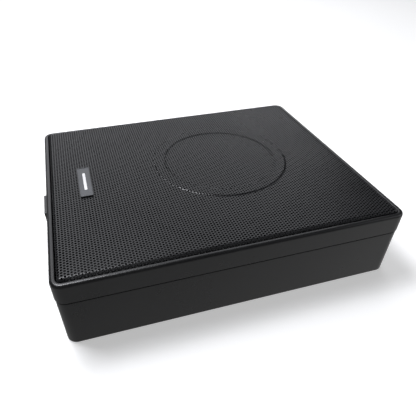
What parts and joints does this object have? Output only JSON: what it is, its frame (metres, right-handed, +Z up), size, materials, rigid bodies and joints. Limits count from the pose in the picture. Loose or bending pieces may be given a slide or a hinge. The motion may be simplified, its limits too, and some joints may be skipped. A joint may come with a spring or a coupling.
{
  "type": "powered car subwoofer",
  "caption": "Flat under-seat subwoofer: shallow woofer facing up under a perforated grille, amplifier inside, sockets and controls on one end.",
  "frame": {"origin": "centre of the flat underside of the case", "axes": "+Z up through the grille, +X along the length away from the control panel, -Y towards the long front side"},
  "size_m": [0.3539, 0.286, 0.0803],
  "materials": {
    "case": "satin",
    "panel": "satin",
    "grille": "satin",
    "badge": "satin",
    "seal": "matte",
    "basket": "satin",
    "steel": "satin",
    "screws": "satin",
    "ferrite": "matte",
    "surround": "matte",
    "spider": "matte",
    "cone": "matte",
    "former": "satin",
    "copper": "satin",
    "socket_plastic": "satin",
    "knob": "satin",
    "board": "satin",
    "heatsink": "satin",
    "capacitor": "gloss",
    "lead_positive": "satin",
    "lead_negative": "satin",
    "jack": "polished",
    "fuse": "gloss",
    "lamp": "gloss"
  },
  "bodies": {
    "enclosure": {"lower_case": "case", "upper_frame": "case", "control_panel": "panel", "grille": "grille", "badge": "badge", "case_seal": "seal", "driver_gasket": "seal", "driver_basket": "basket", "magnet_top_plate": "steel", "back_plate_and_pole": "steel", "transistor_clamp": "steel", "phase_switch_body": "steel", "mode_switch_body": "steel", "case_screw_1": "screws", "case_screw_2": "screws", "case_screw_3": "screws", "case_screw_4": "screws", "driver_screw_1": "screws", "driver_screw_2": "screws", "driver_screw_3": "screws", "driver_screw_4": "screws", "driver_screw_5": "screws", "driver_screw_6": "screws", "panel_screw_1": "screws", "panel_screw_2": "screws", "panel_screw_3": "screws", "panel_screw_4": "screws", "magnet": "ferrite", "surround": "surround", "spider": "spider", "filter_choke": "copper", "driver_terminal": "socket_plastic", "power_connector": "socket_plastic", "speaker_level_socket": "socket_plastic", "remote_jack": "socket_plastic", "fuse_holder": "socket_plastic", "output_transistor_1": "socket_plastic", "output_transistor_2": "socket_plastic", "gain_potentiometer": "socket_plastic", "lowpass_potentiometer": "socket_plastic", "boost_potentiometer": "socket_plastic", "amplifier_board": "board", "heatsink": "heatsink", "supply_capacitor_1": "capacitor", "supply_capacitor_2": "capacitor", "speaker_lead_positive": "lead_positive", "speaker_lead_negative": "lead_negative", "rca_jack_left": "jack", "rca_jack_right": "jack", "fuse": "fuse", "power_lamp": "lamp"},
    "cone_assembly": {"cone": "cone", "dust_cap": "cone", "voice_coil_former": "former", "voice_coil_winding": "copper"},
    "gain_control": {"gain_knob": "knob"},
    "lowpass_control": {"lowpass_knob": "knob"},
    "boost_control": {"boost_knob": "knob"},
    "phase_selector": {"phase_switch_slider": "knob"},
    "mode_selector": {"mode_switch_slider": "knob"}
  },
  "joints": [
    {"name": "cone_excursion", "type": "slide", "parent": "enclosure", "child": "cone_assembly", "axis": [0, 0, 1], "range_m": [-0.006, 0.006], "stiffness_N_per_m": 1800, "deforming": ["surround", "spider"]},
    {"name": "gain_turn", "type": "hinge", "parent": "enclosure", "child": "gain_control", "pos_m": [-0.1734, -0.057, 0.027], "axis": [-1, 0, 0], "range_deg": [-140, 140]},
    {"name": "lowpass_turn", "type": "hinge", "parent": "enclosure", "child": "lowpass_control", "pos_m": [-0.1734, -0.07, 0.027], "axis": [-1, 0, 0], "range_deg": [-140, 140]},
    {"name": "boost_turn", "type": "hinge", "parent": "enclosure", "child": "boost_control", "pos_m": [-0.1734, -0.083, 0.027], "axis": [-1, 0, 0], "range_deg": [-140, 140]},
    {"name": "phase_slide", "type": "slide", "parent": "enclosure", "child": "phase_selector", "axis": [0, 1, 0], "range_m": [0, 0.004]},
    {"name": "mode_slide", "type": "slide", "parent": "enclosure", "child": "mode_selector", "axis": [0, 1, 0], "range_m": [0, 0.004]}
  ]
}
